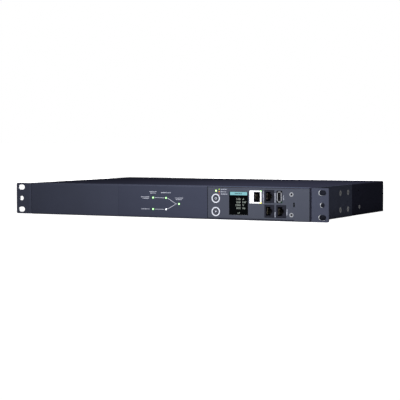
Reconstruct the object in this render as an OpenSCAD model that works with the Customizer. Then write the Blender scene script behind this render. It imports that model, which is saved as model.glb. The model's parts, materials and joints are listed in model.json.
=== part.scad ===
// Rack static transfer switch, one rack unit high.
// X runs across the front, Y towards the rear and Z up.  The origin is the centre of the
// rack hole pattern, on the rear face of the two rack ears.

/* [Rack ears] */
// Width across both ears
rack_w = 482.6; // [480:0.1:486]
// Distance between the left and right columns of rack slots
slot_span = 465.1; // [463:0.1:467]
// Distance between the upper and lower rack slots
slot_pitch = 31.75; // [30:0.05:32.5]
// Length of a rack slot
slot_len = 10.5; // [8:0.1:11]
// Height of a rack slot
slot_h = 7; // [6:0.1:8]
// Diameter of the round hole between two slots
mid_hole_d = 6.5; // [4:0.1:8]
// Height of an ear
ear_h = 43.8; // [42:0.1:44]
// Thickness of the ear's sheet
ear_t = 2; // [1.5:0.1:2.5]
// Inside bend radius of an ear
ear_bend = 1; // [0.5:0.1:1.5]
// Radius of an ear's outer corners
ear_corner = 2; // [0.5:0.1:4]
// Length of the flange that lies along the body's side
ear_flange = 142.5; // [138:0.5:160]
// Distance from the front to the first pair of ear screws
ear_screw_y = 99.2; // [90:0.1:100]
// Distance between the two pairs of ear screws
ear_screw_step = 28.3; // [24:0.1:32]
// Height between the screws of a pair
ear_screw_rise = 22.8; // [20:0.1:24]

/* [Housing] */
// Width of the body without the ears
body_w = 433; // [429:0.5:438]
// Height of the body
body_h = 44.4; // [44:0.1:48]
// Depth of the body
body_d = 276; // [272:1:310]
// Thickness of the housing's sheet
sheet_t = 1.2; // [1:0.1:1.4]
// Inside bend radius of the housing's sheet
bend = 0.8; // [0.5:0.1:1]
// Depth of the front wall's return flange on top
front_flange = 12; // [9:0.5:18]
// Depth of the rear wall's return flange under the cover
rear_flange = 11; // [9:0.5:16]
// Height of the base's side flanges
side_flange = 16; // [15.5:0.5:19]
// Clearance between two sheets
fit = 0.2; // [0.1:0.05:0.3]
// Set-back of the cover's sides behind the front
cover_recess = 1.5; // [0.5:0.1:3]
// Width of a cover tongue
tongue_w = 26; // [16:1:40]
// Distance from the front to the side screw
side_screw_y = 177; // [165:1:195]
// Distance from the front to the pierced hole above it
side_hole_y = 173; // [165:1:195]

/* [Status panel] */
// Width of the status film
film_w = 137.8; // [125:0.1:150]
// Thickness of the status film
film_t = 0.2; // [0.1:0.05:0.4]
// Distance from the module window to the first lamp column
lamp_x = 83; // [78:0.1:90]
// Distance between two lamp columns
lamp_step = 20.1; // [17:0.1:22]
// Height between the lamps of input A and input B
lamp_rise = 15.6; // [13:0.1:18]
// Height of the middle of the status diagram
lamp_mid = -2.8; // [-4:0.1:2]
// Diameter of a light pipe
pipe_d = 2.6; // [2:0.1:3]
// Distance from the front face to the status board
status_gap = 8; // [6:0.1:10]

/* [Control module] */
// Width of the module's faceplate
module_w = 146.6; // [145:0.1:150]
// Distance from the module to the body's side
module_inset = 1.7; // [1.5:0.1:2.5]
// Gap beside the module
module_gap = 0.8; // [0.4:0.1:1]
// Top edge of the faceplate below the housing's top
module_drop = 1.6; // [1.6:0.1:2]
// Width of the deeper end of the faceplate
module_tail = 21.2; // [17:0.1:22]
// Height of the deeper end above the underside
tail_lift = 0.3; // [0.2:0.1:0.8]
// Distance from the faceplate to the module board
board_gap = 15.4; // [14.5:0.1:18]
// Place of the buttons across the faceplate
button_x = 12; // [10:0.1:13]
// Height between the two buttons
button_rise = 17.6; // [15:0.1:18.5]
// Height of the middle between the buttons
button_mid = -2.8; // [-4:0.1:-2]
// Outer diameter of a button's ring
ring_d = 12.3; // [11.5:0.1:13]
// Diameter of a button cap
cap_d = 8.7; // [7:0.1:9]
// Gap round a button cap
cap_gap = 0.35; // [0.3:0.05:0.5]
// Travel of a button
travel = 0.6; // [0.3:0.1:0.8]
// Height of the indicator light
indicator_z = 16.1; // [15.5:0.1:17]
// Place of the screen across the faceplate
lcd_x = 45.4; // [43:0.1:45.8]
// Width of the screen
lcd_w = 27.4; // [24:0.1:28]
// Height of the screen
lcd_h = 30.8; // [28:0.1:33]
// Place of the two threaded inserts across the faceplate
insert_x = 121.3; // [118:0.1:122]
// Distance between the two threaded inserts
insert_rise = 26.7; // [24:0.1:28]
// Height of the middle between the inserts
insert_mid = -0.25; // [-1:0.05:1]
// Outer diameter of a threaded insert
insert_d = 5.8; // [5:0.1:6.4]
// Diameter of an insert's threaded hole
insert_bore = 2.5; // [2:0.1:3]
// Length of an insert's thread
insert_depth = 8; // [5:0.5:10]

/* [Sockets] */
// Place of the network jack across the faceplate
jack_x = 70.1; // [70:0.1:71]
// Height of the network jack's middle
jack_z = 8.85; // [8:0.05:10]
// Width of the network jack
jack_w = 17; // [16:0.1:17]
// Height of the network jack
jack_h = 16.8; // [15.5:0.1:18]
// Place of the left pair of auxiliary ports
port_x = 89.95; // [89:0.05:91]
// Place of the right auxiliary port
port_right_x = 106.7; // [106:0.1:108]
// Place of the upper port's middle above the centre line
port_up = 9.85; // [9.2:0.05:10.5]
// Place of the lower ports' middle below the centre line
port_down = 9.4; // [9:0.05:10]
// Width of an auxiliary port
port_w = 13.7; // [13:0.1:14]
// Height of an auxiliary port
port_h = 16.5; // [15.5:0.1:17]
// Place of the USB socket across the faceplate
usb_x = 104.3; // [103:0.1:106]
// Height of the USB socket's middle
usb_z = 9.6; // [9.2:0.1:10.5]
// How far a socket stands proud of the faceplate
proud = 0.3; // [0.1:0.05:0.6]
// Clearance round a socket in the faceplate
socket_gap = 0.25; // [0.15:0.05:0.35]

/* [Rear side] */
// Width of an inlet's flange
inlet_w = 48; // [46:0.5:49]
// Height of an inlet's flange
inlet_h = 28; // [27:0.5:32]
// Depth of an inlet behind the wall
inlet_depth = 28; // [24:0.5:32]
// Distance between two neighbours on the rear wall
rear_gap = 4; // [3:0.5:5]
// Distance between two receptacles
outlet_pitch = 34; // [33:0.5:34.5]
// Height of an outlet block's body
outlet_h = 27.4; // [26:0.2:30]
// Depth of an outlet block behind the wall
outlet_depth = 29; // [25:0.5:32]
// Diameter of the ground stud
stud_d = 5; // [4:0.5:6]
// Length of the ground stud outside the wall
stud_len = 12; // [9:0.5:16]

/* [Boards and power parts] */
// Thickness of a printed board
board_t = 1.6; // [1.2:0.1:2]
// Height of a stand-off
standoff_h = 6; // [5:0.5:8]
// Distance from the front to the front row of boards
front_zone = 26; // [24:1:30]
// Depth of the boards in the front row
logic_d = 76; // [70:1:80]
// Width of the control board
control_w = 150; // [130:1:160]
// Width of the supply board
supply_w = 96; // [88:1:100]
// Width of the network board
network_w = 112; // [100:1:120]
// Width of the power board
power_w = 298; // [292:1:304]
// Depth of the power board and the heat sink
power_d = 104; // [102:1:108]
// Distance from the rear face to the power row
rear_zone = 45; // [43:1:50]
// Thickness of the heat sink's base
sink_base = 6; // [5:0.5:8]
// Height of the heat sink's fins
fin_h = 22; // [16:1:24]
// Thickness of a fin
fin_t = 1.6; // [1.2:0.1:2]
// Number of fins on each side of the thyristors
fin_count = 6; // [4:1:7]
// Width of the clear channel for the thyristors
channel_w = 44; // [42:1:48]

/* [Hidden] */
$fn = 48;

// A little more than nothing, so that a cutter passes clean through a face
eps = 0.02;

half_w = body_w / 2;
bot_z = -body_h / 2;
top_z = body_h / 2;
front_y = -ear_t;
back_y = front_y + body_d;
floor_z = bot_z + sheet_t;
bend_out = bend + sheet_t;
ear_out = ear_bend + ear_t;
base_half = half_w - sheet_t - fit;
base_inner = base_half - sheet_t;
shoulder = half_w - bend_out - fit;
rear_top = top_z - sheet_t - fit;
cover_front = front_y + front_flange + fit;
relief = 1;
notch_w = 1.2;
notch_d = 0.5;
tongue_len = 6;
tongue_z = top_z - 2 * sheet_t - fit;
hole_play = 0.1;
thread_play = 0.05;

module_x1 = half_w - module_inset;
module_x0 = module_x1 - module_w;
module_top = top_z - module_drop;
window_x0 = module_x0 - module_gap;
film_x1 = window_x0 - fit;
tail_x = module_x1 - module_tail;
module_back = front_y + sheet_t;
module_board_y = module_back + board_gap;
module_flange = 18;
col_x = window_x0 - lamp_x;
lamp_places = [for (c = [0, 1], s = [1, -1]) [col_x + c * lamp_step, lamp_mid + s * lamp_rise / 2]];
output_place = [col_x + 2 * lamp_step, lamp_mid];
status_places = concat(lamp_places, [output_place]);
status_y = front_y + status_gap;

ear_screw_places = [for (i = [0, 1], s = [-1, 1])
    [front_y + ear_screw_y + i * ear_screw_step, s * ear_screw_rise / 2]];
side_screw_z = bot_z + 11.3;
side_hole_z = top_z - 9.8;
cover_screw_x = [-half_w * 0.8, 0, half_w * 0.8];
cover_screw_y = back_y - rear_flange + 4;
rear_wall = [back_y - 4, back_y + 1];

// Screws: head radius, shank radius and length of each kind
ear_head = 3.75;
ear_shank = 2;
ear_screw_len = ear_t + 2 * sheet_t + fit + 3.4;
nut_r = 3.5;
nut_h = 2.6;
small_head = 2.7;
small_shank = 1.5;
small_len = 5;
pan_h = 1.8;
drive_w = 0.7;
sink_in = 0.2;

inlet_xs = [for (i = [0, 1]) base_inner - 1 - inlet_w / 2 - i * (inlet_w + rear_gap)];
block_lip = 4;
block_w = 4 * outlet_pitch + 6;
block_xs = [for (i = [0, 1])
    inlet_xs[1] - inlet_w / 2 - rear_gap - block_w / 2 - i * (block_w + rear_gap - 2)];
stud_x = -base_inner + 8.5;

// Fixings of the boards from their edges
fixing_inset = 5;
board_z = floor_z + standoff_h;
board_top = board_z + board_t;
front_row = front_y + front_zone;
power_row = back_y - rear_zone - power_d;
network_x1 = base_inner - 6;
supply_x1 = network_x1 - network_w - 8;
control_x0 = -base_inner + 8;
power_x0 = -base_inner + 6;
fin_step = 4.6;
sink_w = channel_w + 4 + 2 * (fin_count * fin_step);
sink_x1 = base_inner - 3;
sink_mid = sink_x1 - sink_w / 2;

// ---------------------------------------------------------------- shared shapes

// A block given by its ranges along X, Y and Z
module slab(x, y, z) {
    translate([x[0], y[0], z[0]]) cube([x[1] - x[0], y[1] - y[0], z[1] - z[0]]);
}

// Round rods along the three axes, between two stations
module rod_x(r, x) { translate([x[0], 0, 0]) rotate([0, 90, 0]) cylinder(r = r, h = x[1] - x[0]); }
module rod_y(r, y) { translate([0, y[0], 0]) rotate([-90, 0, 0]) cylinder(r = r, h = y[1] - y[0]); }
module rod_z(r, z) { translate([0, 0, z[0]]) cylinder(r = r, h = z[1] - z[0]); }

// A profile in Y and Z, drawn out along X
module along_x(x) {
    translate([x[0], 0, 0]) rotate([90, 0, 90]) linear_extrude(height = x[1] - x[0]) children();
}

// A profile in X and Z, drawn out along Y
module along_y(y) {
    translate([0, y[1], 0]) rotate([90, 0, 0]) linear_extrude(height = y[1] - y[0]) children();
}

// A quarter of a bent sheet, in the first quadrant about the bend's centre
module bend_2d(r = bend, t = sheet_t) {
    intersection() {
        difference() { circle(r + t); circle(r); }
        square(r + t);
    }
}

// A rectangle with round corners, about its centre
module round_rect(w, h, r) {
    square([w - 2 * r, h], center = true);
    square([w, h - 2 * r], center = true);
    for (x = [-1, 1], y = [-1, 1]) translate([x * (w / 2 - r), y * (h / 2 - r)]) circle(r);
}

// A slot with round ends along X
module slot_2d(len, h) {
    square([len - h, h], center = true);
    for (s = [-1, 1]) translate([s * (len - h) / 2, 0]) circle(d = h);
}

// A countersunk screw: the head's face is at the origin and the shank runs along +X
module sunk_screw_x(head, shank, sink, len) {
    difference() {
        union() {
            rotate([0, 90, 0]) cylinder(r1 = head, r2 = shank, h = sink);
            rod_x(shank, [sink - eps, len]);
        }
        for (a = [0, 90]) rotate([a, 0, 0])
            slab([-eps, sink / 2], [-head / 2, head / 2], [-drive_w / 2, drive_w / 2]);
    }
}

// The seat that such a screw needs, cut through the sheets
module sunk_seat_x(head, shank, sink, len) {
    rotate([0, 90, 0]) cylinder(r1 = head + hole_play, r2 = shank + hole_play, h = sink + hole_play);
    rod_x(shank + hole_play, [sink, len]);
    rod_x(head + hole_play, [-1, eps]);
}

// A printed board with its fixing holes
module board(x, y, holes) {
    color("darkgreen") difference() {
        slab(x, y, [board_z, board_top]);
        for (p = holes) translate([p[0], p[1], 0])
            rod_z(small_shank + hole_play, [board_z - 1, board_top + 1]);
    }
}

// Corner fixings of a board, and middle ones where it is long
function fixings(x, y, cols) = [for (i = [0 : cols - 1], q = [0, 1])
    [x[0] + fixing_inset + i * (x[1] - x[0] - 2 * fixing_inset) / (cols - 1),
        y[0] + fixing_inset + q * (y[1] - y[0] - 2 * fixing_inset)]];

// ---------------------------------------------------------------- housing

// Sheet section of the base: front wall with its return flange, floor, rear wall
module base_section() {
    translate([front_y, bot_z + bend_out]) square([sheet_t, body_h - 2 * bend_out]);
    translate([front_y + bend_out, bot_z + bend_out]) rotate(180) bend_2d();
    translate([front_y + bend_out, bot_z]) square([body_d - 2 * bend_out, sheet_t]);
    translate([back_y - bend_out, bot_z + bend_out]) rotate(-90) bend_2d();
    translate([back_y - sheet_t, bot_z + bend_out]) square([sheet_t, rear_top - bot_z - 2 * bend_out]);
    translate([back_y - bend_out, rear_top - bend_out]) bend_2d();
    translate([back_y - rear_flange, rear_top - sheet_t]) square([rear_flange - bend_out, sheet_t]);
    translate([front_y + bend_out, top_z - bend_out]) rotate(90) bend_2d();
    translate([front_y + bend_out, top_z - sheet_t]) square([front_flange - bend_out, sheet_t]);
}

// Section of the right-hand side flange with its bend
module side_section() {
    translate([base_half - bend_out, bot_z + bend_out]) rotate(-90) bend_2d();
    translate([base_inner, bot_z + bend_out]) square([sheet_t, side_flange - bend_out]);
}

// Everything that is cut out of the rear wall
module rear_cuts() {
    for (x = inlet_xs) translate([x, 0, 0]) {
        along_y(rear_wall)
            square([inlet_body_w + 2 * fit, inlet_body_h + 2 * fit], center = true);
        for (s = [-1, 1]) translate([s * inlet_screw_x, 0, 0]) rod_y(small_shank, rear_wall);
    }
    for (x = block_xs) translate([x, 0, 0]) along_y(rear_wall)
        square([block_w - block_lip + 2 * fit, outlet_h + 2 * fit], center = true);
    translate([stud_x, 0, 0]) rod_y(stud_d / 2 + hole_play, rear_wall);
}

module chassis_base() {
    side_y = [front_y + bend_out + relief, back_y - bend_out - relief];
    color("#34363f") difference() {
        union() {
            difference() {
                along_x([-base_half, base_half]) base_section();
                for (s = [0, 1]) mirror([s, 0, 0])
                    slab([base_half - bend_out, base_half + 1], side_y, [bot_z - 1, bot_z + bend_out]);
            }
            for (s = [0, 1]) mirror([s, 0, 0]) along_y(side_y) side_section();
        }
        // the cover's rounded shoulders pass beside the top flanges
        for (s = [0, 1]) mirror([s, 0, 0])
            slab([shoulder, half_w], [front_y - 1, back_y + 1], [top_z - bend_out - fit, top_z + 1]);
        // window for the control module, open at the floor, with a relief notch above its corner
        slab([window_x0, base_half + 1], [front_y - 1, front_y + bend_out], [bot_z - 1, top_z - sheet_t]);
        slab([window_x0, window_x0 + notch_w], [front_y - 1, front_y + bend_out + notch_d],
            [top_z - 2 * sheet_t, top_z + 1]);
        // light pipes of the status panel
        for (p = status_places) translate([p[0], 0, p[1]])
            rod_y(pipe_d / 2 + hole_play, [front_y - 1, front_y + 3]);
        // screws of the ears and of the cover's sides
        for (s = [0, 1]) mirror([s, 0, 0]) {
            for (p = ear_screw_places) translate([0, p[0], p[1]])
                rod_x(ear_shank + hole_play, [base_inner - 1, base_half + 1]);
            translate([0, front_y + side_screw_y, side_screw_z])
                rod_x(small_shank + hole_play, [base_inner - 1, base_half + 1]);
        }
        for (x = cover_screw_x) translate([x, cover_screw_y, 0])
            rod_z(small_shank + hole_play, [rear_top - 3, rear_top + 1]);
        for (p = floor_screws) translate([p[0], p[1], 0]) {
            rod_z(small_shank + hole_play, [bot_z - 1, floor_z + 1]);
            translate([0, 0, bot_z - eps])
                cylinder(r1 = small_head + hole_play, r2 = small_shank + hole_play, h = sheet_t);
        }
        rear_cuts();
    }
}

// Sheet section of the cover: the top and both sides
module cover_section() {
    translate([-half_w + bend_out, top_z - sheet_t]) square([body_w - 2 * bend_out, sheet_t]);
    for (s = [0, 1]) mirror([s, 0]) {
        translate([half_w - bend_out, top_z - bend_out]) bend_2d();
        translate([half_w - sheet_t, bot_z + fit]) square([sheet_t, body_h - bend_out - fit]);
    }
}

module top_cover() {
    color("#2c2e37") difference() {
        union() {
            difference() {
                along_y([front_y + cover_recess, back_y]) cover_section();
                slab([-shoulder - fit, shoulder + fit], [front_y - 1, cover_front],
                    [top_z - bend_out, top_z + 1]);
            }
            // tongues that slip under the front return flange
            for (x = [-3, -1, 1, 3] * half_w / 4) {
                tongue_x = [x - tongue_w / 2, x + tongue_w / 2];
                slab(tongue_x, [cover_front - tongue_len, cover_front + tongue_len],
                    [tongue_z, tongue_z + sheet_t]);
                slab(tongue_x, [cover_front, cover_front + tongue_len], [tongue_z, top_z - sheet_t / 2]);
            }
        }
        for (s = [0, 1]) mirror([s, 0, 0]) {
            for (p = ear_screw_places) translate([0, p[0], p[1]])
                rod_x(ear_shank + hole_play, [half_w - 3, half_w + 1]);
            translate([half_w, front_y + side_screw_y, side_screw_z])
                rotate([0, 0, 180]) sunk_seat_x(small_head, small_shank, sheet_t, 4);
            translate([0, front_y + side_hole_y, side_hole_z])
                rod_x(small_shank, [half_w - 3, half_w + 1]);
        }
        for (x = cover_screw_x) translate([x, cover_screw_y, top_z])
            rotate([0, 90, 0]) sunk_seat_x(small_head, small_shank, sheet_t, 4);
    }
}

// ---------------------------------------------------------------- rack ears

// The right-hand ear: a face plate with the rack slots, bent into a side flange
module ear() {
    plate_x0 = half_w + ear_out;
    plate_w = rack_w / 2 - plate_x0;
    color("#50535f") difference() {
        union() {
            along_y([-ear_t, 0]) difference() {
                union() {
                    translate([plate_x0 + plate_w / 2, 0]) round_rect(plate_w, ear_h, ear_corner);
                    translate([plate_x0, -ear_h / 2]) square([plate_w / 2, ear_h]);
                }
                for (s = [-1, 1]) translate([slot_span / 2, s * slot_pitch / 2]) slot_2d(slot_len, slot_h);
                translate([slot_span / 2, 0]) circle(d = mid_hole_d);
            }
            linear_extrude(height = ear_h, center = true) {
                translate([plate_x0, front_y + ear_out]) rotate(180) bend_2d(ear_bend, ear_t);
                translate([half_w, front_y + ear_out]) square([ear_t, ear_flange - ear_out]);
            }
        }
        for (p = ear_screw_places) translate([half_w + ear_t, p[0], p[1]])
            rotate([0, 0, 180]) sunk_seat_x(ear_head, ear_shank, ear_t - sink_in, ear_t + 1);
    }
}

module rack_ear_right() { ear(); }
module rack_ear_left() { mirror([1, 0, 0]) ear(); }

module ear_screws() {
    color("#17181c") for (s = [0, 1]) mirror([s, 0, 0])
        for (p = ear_screw_places) translate([half_w + ear_t, p[0], p[1]])
            rotate([0, 0, 180]) sunk_screw_x(ear_head, ear_shank, ear_t - sink_in, ear_screw_len);
}

// Press nuts: the upper ones sit on the cover's side, the lower ones on the base's flange
module ear_nuts() {
    color("silver") for (s = [0, 1]) mirror([s, 0, 0])
        for (p = ear_screw_places) {
            seat = p[1] > 0 ? half_w - sheet_t : base_inner;
            translate([0, p[0], p[1]]) difference() {
                rod_x(nut_r, [seat - nut_h, seat]);
                rod_x(ear_shank + thread_play, [seat - nut_h - 1, seat + 1]);
            }
        }
}

module cover_screws() {
    color("#17181c") {
        for (s = [0, 1]) mirror([s, 0, 0])
            translate([half_w, front_y + side_screw_y, side_screw_z])
                rotate([0, 0, 180]) sunk_screw_x(small_head, small_shank, sheet_t, small_len);
        for (x = cover_screw_x) translate([x, cover_screw_y, top_z])
            rotate([0, 90, 0]) sunk_screw_x(small_head, small_shank, sheet_t, small_len);
    }
}

// ---------------------------------------------------------------- status panel

module status_film() {
    edge = 0.5;
    color("#3d404c") difference() {
        slab([film_x1 - film_w, film_x1], [front_y - film_t, front_y],
            [bot_z + bend_out + edge, top_z - bend_out - edge]);
        for (p = status_places) translate([p[0], 0, p[1]])
            rod_y(pipe_d / 2 + hole_play, [front_y - 1, front_y + 1]);
    }
}

// A light pipe: a rod from its lamp to the front, with a rounded tip and a collar behind the wall
module light_pipe(place, back) {
    r = pipe_d / 2;
    dome = 0.5;
    tip = (r * r + dome * dome) / (2 * dome);
    collar_y = front_y + sheet_t + hole_play;
    translate([place[0], 0, place[1]]) {
        rod_y(r, [front_y - film_t, back]);
        rod_y(r + 0.8, [collar_y, collar_y + 1]);
        intersection() {
            translate([0, front_y - film_t - dome + tip, 0]) sphere(tip);
            rod_y(r, [front_y - film_t - dome - 1, front_y]);
        }
    }
}

module status_light_pipes() {
    color("#7dff6a") for (p = [lamp_places[0], lamp_places[1], lamp_places[2], output_place])
        light_pipe(p, status_y - chip_t);
}

module standby_light_pipe() { color("white") light_pipe(lamp_places[3], status_y - chip_t); }

// Lamp chips, the lamp board's edges beyond its lamps, and the board's two fixings
chip_w = 2;
chip_h = 1.4;
chip_t = 0.8;
status_x = [col_x - 10, output_place[0] + 10];
status_z = [lamp_mid - lamp_rise / 2 - 5, lamp_mid + lamp_rise / 2 + 5];
status_fixings = [for (x = [status_x[0] + 3.5, status_x[1] - 3.5]) [x, lamp_mid]];
post_r = 2.6;
status_stud = 1.2;

// The lamp board, with its five chips on the face that looks at the front wall
module status_board() {
    color("darkgreen") difference() {
        slab(status_x, [status_y, status_y + board_t], status_z);
        for (p = status_fixings) translate([p[0], 0, p[1]])
            rod_y(status_stud + hole_play, [status_y - 1, status_y + board_t + 1]);
    }
    color("white") for (p = status_places)
        slab([p[0] - chip_w / 2, p[0] + chip_w / 2], [status_y - chip_t, status_y],
            [p[1] - chip_h / 2, p[1] + chip_h / 2]);
}

// Studs pressed into the front wall, each with a nut that clamps the lamp board
module status_posts() {
    color("silver") for (p = status_fixings) translate([p[0], 0, p[1]]) {
        rod_y(post_r, [front_y + sheet_t, status_y]);
        rod_y(status_stud, [status_y - 1, status_y + board_t + 3]);
        translate([0, status_y + board_t, 0]) rotate([-90, 0, 0]) cylinder(r = post_r, h = 2, $fn = 6);
    }
}

// ---------------------------------------------------------------- control module

floor_screws = [for (x = [module_x0 + 22, tail_x - 22]) [x, module_back + 12]];
button_places = [for (s = [1, -1]) [module_x0 + button_x, button_mid + s * button_rise / 2]];
indicator_place = [module_x0 + button_x + 0.3, indicator_z];
insert_places = [for (s = [1, -1]) [module_x0 + insert_x, insert_mid + s * insert_rise / 2]];
post_places = [for (s = [1, -1]) [module_x0 + 4.2, s * 15.5]];
sleeve_r = cap_d / 2 + cap_gap + 0.6;
ports = [[port_x, port_up], [port_x, -port_down], [port_right_x, -port_down]];
usb_hole = [8.4, 16.2];
lock_slot = [2, 5.6];
slot_place = [module_x0 + insert_x + 3.65, -0.3];
// Range along Y of a cutter that passes through the faceplate
plate_cut = [front_y - 1, module_back + 1];

// The faceplate, folded back along its lower edge into a foot that stands on the housing's floor
module module_faceplate() {
    color("#565964") difference() {
        union() {
            slab([module_x0, module_x1], [front_y, module_back], [floor_z + bend_out, module_top]);
            slab([tail_x, module_x1], [front_y, module_back], [bot_z + tail_lift, floor_z + bend_out]);
            along_x([module_x0, tail_x]) {
                translate([front_y + bend_out, floor_z + bend_out]) rotate(180) bend_2d();
                translate([front_y + bend_out, floor_z]) square([module_flange - bend_out, sheet_t]);
            }
        }
        slab([tail_x - relief, tail_x], [module_back, module_back + module_flange + 1],
            [floor_z - 1, floor_z + bend_out + 1]);
        for (p = button_places) translate([p[0], 0, p[1]]) rod_y(sleeve_r + hole_play, plate_cut);
        translate([indicator_place[0], 0, indicator_place[1]]) rod_y(pipe_d / 2 + hole_play, plate_cut);
        for (p = insert_places) translate([p[0], 0, p[1]]) rod_y((insert_d + hole_play) / 2, plate_cut);
        translate([module_x0, 0, 0]) along_y(plate_cut) {
            translate([lcd_x, 0]) square([lcd_w + 2 * fit, lcd_h + 2 * fit], center = true);
            translate([jack_x, jack_z])
                square([jack_w + 2 * socket_gap, jack_h + 2 * socket_gap], center = true);
            for (p = ports) translate(p)
                square([port_w + 2 * socket_gap, port_h + 2 * socket_gap], center = true);
            translate([usb_x, usb_z]) round_rect(usb_hole[0], usb_hole[1], 1.5);
            translate([slot_place[0] - module_x0, slot_place[1]]) square(lock_slot, center = true);
        }
        for (p = floor_screws) translate([p[0], p[1], 0])
            rod_z(small_shank + hole_play, [floor_z - 1, floor_z + sheet_t + 1]);
    }
}

module_fixings = concat(insert_places, post_places);

module module_board() {
    color("darkgreen") difference() {
        slab([module_x0 + 1.5, module_x0 + insert_x + 5], [module_board_y, module_board_y + board_t],
            [floor_z + 3.5, module_top - 2]);
        for (p = module_fixings) translate([p[0], 0, p[1]])
            rod_y(small_shank + hole_play, [module_board_y - 1, module_board_y + board_t + 1]);
    }
}

// Posts behind the faceplate's left edge, which the board is screwed to
module module_posts() {
    color("silver") for (p = post_places) translate([p[0], 0, p[1]]) difference() {
        rod_y(post_r, [module_back, module_board_y]);
        rod_y(small_shank + thread_play, [module_board_y - 6, module_board_y + 1]);
    }
}

// Threaded inserts clinched in the faceplate, long enough to carry the board as well
module accessory_inserts() {
    color("silver") for (p = insert_places) translate([p[0], 0, p[1]]) difference() {
        rod_y(insert_d / 2, [front_y, module_board_y]);
        rod_y(insert_bore / 2, [front_y - 1, front_y + insert_depth]);
        translate([0, front_y - eps, 0]) rotate([-90, 0, 0])
            cylinder(r1 = insert_bore / 2 + 0.4, r2 = insert_bore / 2, h = 0.4);
        rod_y(small_shank + thread_play, [module_board_y - 6, module_board_y + 1]);
    }
}

module module_screws() {
    color("silver") for (p = module_fixings) translate([p[0], 0, p[1]]) {
        rod_y(small_shank, [module_board_y - 5, module_board_y + board_t + 0.5]);
        rod_y(small_head, [module_board_y + board_t, module_board_y + board_t + pan_h]);
    }
    color("#17181c") for (p = floor_screws) translate([p[0], p[1], bot_z]) rotate([0, -90, 0])
        sunk_screw_x(small_head, small_shank, sheet_t - hole_play, 2 * sheet_t + 1.2);
}

module lcd_glass() {
    color("#0b0c10") translate([module_x0 + lcd_x, 0, 0]) along_y([front_y + 0.15, module_back])
        square([lcd_w, lcd_h], center = true);
}

// The screen's metal frame, on four legs that stand on the board
module lcd_module() {
    rim = 1.4;
    color("#9fa2a8") translate([module_x0 + lcd_x, 0, 0]) {
        along_y([module_back, module_back + 4]) square([lcd_w + 2 * rim, lcd_h + 2 * rim], center = true);
        for (x = [-1, 1], z = [-1, 1]) translate([x * (lcd_w / 2 - 1.5), 0, z * (lcd_h / 2 - 1.5)])
            rod_y(1.2, [module_back + 3, module_board_y]);
    }
}

module indicator_light_pipe() {
    color("#d9ff5a") light_pipe(indicator_place, module_board_y);
}

// ---------------------------------------------------------------- buttons

bore_r = cap_d / 2 + cap_gap;
sleeve_end = module_back + 1.6;
collar_front = sleeve_end + 0.3;
switch_front = module_board_y - 3.5;
plunger_front = switch_front - 4;
plunger_r = 1.75;
plunger_back = module_board_y - 0.8 - travel - 0.1;

module button_bezels() {
    color("white") for (p = button_places) translate([p[0], 0, p[1]]) difference() {
        union() {
            rod_y(ring_d / 2, [front_y - 0.5, front_y]);
            rod_y(sleeve_r, [front_y - eps, sleeve_end]);
        }
        rod_y(bore_r, [front_y - 1, sleeve_end + 1]);
    }
}

// A cap with a shallow finger dish, a collar that keeps it in the bezel, and a stem
module button_cap(place) {
    dish = 14;
    color("#1d1f26") translate([place[0], 0, place[1]]) difference() {
        union() {
            rod_y(cap_d / 2, [front_y - 0.45, collar_front + 0.5]);
            rod_y(cap_d / 2 + cap_gap + 0.45, [collar_front, collar_front + 1]);
            rod_y(plunger_r, [collar_front + 0.5, plunger_front]);
        }
        translate([0, front_y - 0.2 - dish, 0]) sphere(dish);
    }
}

module upper_button_cap() { button_cap(button_places[0]); }
module lower_button_cap() { button_cap(button_places[1]); }

module tact_switches() {
    color("#22242a") for (p = button_places) translate([p[0], 0, p[1]]) difference() {
        slab([-3.1, 3.1], [switch_front, module_board_y], [-3.1, 3.1]);
        rod_y(plunger_r + 0.3, [switch_front - 1, module_board_y - 0.8]);
    }
}

module switch_plunger(place) {
    color("#c8c8c0") translate([place[0], 0, place[1]]) rod_y(plunger_r, [plunger_front, plunger_back]);
}

module upper_switch_plunger() { switch_plunger(button_places[0]); }
module lower_switch_plunger() { switch_plunger(button_places[1]); }

// ---------------------------------------------------------------- sockets

socket_front = front_y - proud;
cavity_depth = 12.5;
cavity_back = socket_front + cavity_depth;
plug_w = 11.9;
plug_t = 6.9;

// Opening of an eight-way jack, with its two keyed steps towards +X
module jack_opening() {
    translate([0, -plug_w / 2]) square([plug_t, plug_w]);
    translate([plug_t - eps, -3.2]) square([1.5 + eps, 6.4]);
    translate([plug_t + 1.5 - eps, -2]) square([1.2 + eps, 4]);
}

// Where the opening starts, measured from the jack's middle
jack_left = -1.6;
port_left = -4.9;

// Bay of the shell that holds the jack's black insert
jack_bay_x = [jack_left - 1, jack_w / 2 - 1.7];
jack_bay_z = [-jack_h / 2 + 1.6, jack_h / 2 - 1.6];

// White shielded shell round the jack, thick on the side of its magnetics
module network_jack_shield() {
    color("#eceef0") translate([module_x0 + jack_x, 0, jack_z]) difference() {
        slab([-jack_w / 2, jack_w / 2], [socket_front, module_board_y], [-jack_h / 2, jack_h / 2]);
        slab(jack_bay_x, [socket_front - 1, module_board_y + 1], jack_bay_z);
        for (s = [-1, 1]) jack_lamp(s, 1);
    }
}

// The two lamps at the shell's right-hand corners: width, depth and height
lamp_size = [2.4, 4, 1.6];

// A lamp, or with some room to cut beyond the shell's outside, the pocket for it
module jack_lamp(side, room = 0) {
    z = jack_h / 2 - lamp_size[2];
    mirror([0, 0, side < 0 ? 1 : 0])
        slab([jack_w / 2 - lamp_size[0], jack_w / 2 + room],
            [socket_front - room, socket_front + lamp_size[1]], [z, jack_h / 2 + room]);
}

module lamp_in_place(side) { translate([module_x0 + jack_x, 0, jack_z]) jack_lamp(side); }

module link_lamp() { color("#3ddc4a") lamp_in_place(1); }
module activity_lamp() { color("#e8d83c") lamp_in_place(-1); }

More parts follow.
